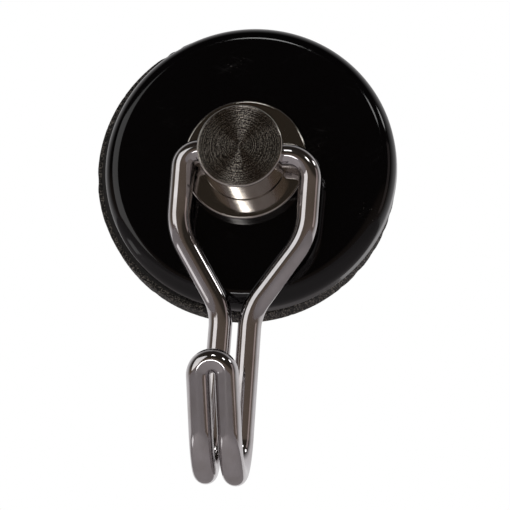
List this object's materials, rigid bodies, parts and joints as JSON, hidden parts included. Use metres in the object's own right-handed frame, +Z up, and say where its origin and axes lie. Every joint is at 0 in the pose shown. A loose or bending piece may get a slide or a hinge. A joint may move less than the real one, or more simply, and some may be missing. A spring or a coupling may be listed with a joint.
{
  "type": "magnetic swivel hook",
  "caption": "Round ring-magnet base with a flat collar and a turned post that swivels, holding a swinging bent-wire bail that runs down into a double-leg J hook with a closed tip",
  "frame": {"origin": "where the swivel axis meets the plane of the magnet's flat face", "axes": "+Y out of the magnet's face towards the wall it grips, +Z up with the hook hanging along -Z, +X to the right seen from the front"},
  "size_m": [0.0642, 0.0351, 0.1022],
  "materials": {
    "ferrite": "rough dark grey sintered ferrite",
    "adhesive": "dark cured adhesive film",
    "black_enamel": "gloss black enamel on steel",
    "core_steel": "zinc-plated steel",
    "chrome_plate": "bright chrome plate",
    "bush_brass": "plain turned brass",
    "washer_plastic": "natural nylon",
    "turned_chrome": "turned face with fine rings, chrome plated",
    "chrome_wire": "polished chrome-plated wire"
  },
  "bodies": {
    "base": {"ring_magnet": "ferrite", "adhesive_film": "adhesive", "backing_plate": "black_enamel", "pole_core": "core_steel", "collar": "chrome_plate", "pivot_bush": "bush_brass", "thrust_washer": "washer_plastic"},
    "swivel": {"shoulder_screw": "core_steel", "post": "turned_chrome"},
    "hook": {"wire_hook": "chrome_wire"}
  },
  "joints": [
    {"name": "swivel_turn", "type": "hinge", "parent": "base", "child": "swivel", "pos_m": [0, -0.01535, 0], "axis": [0, -1, 0], "continuous": true},
    {"name": "hook_swing", "type": "hinge", "parent": "swivel", "child": "hook", "pos_m": [0, -0.0193, 0], "axis": [-1, 0, 0], "range_deg": [-1.4, 194.8]}
  ]
}
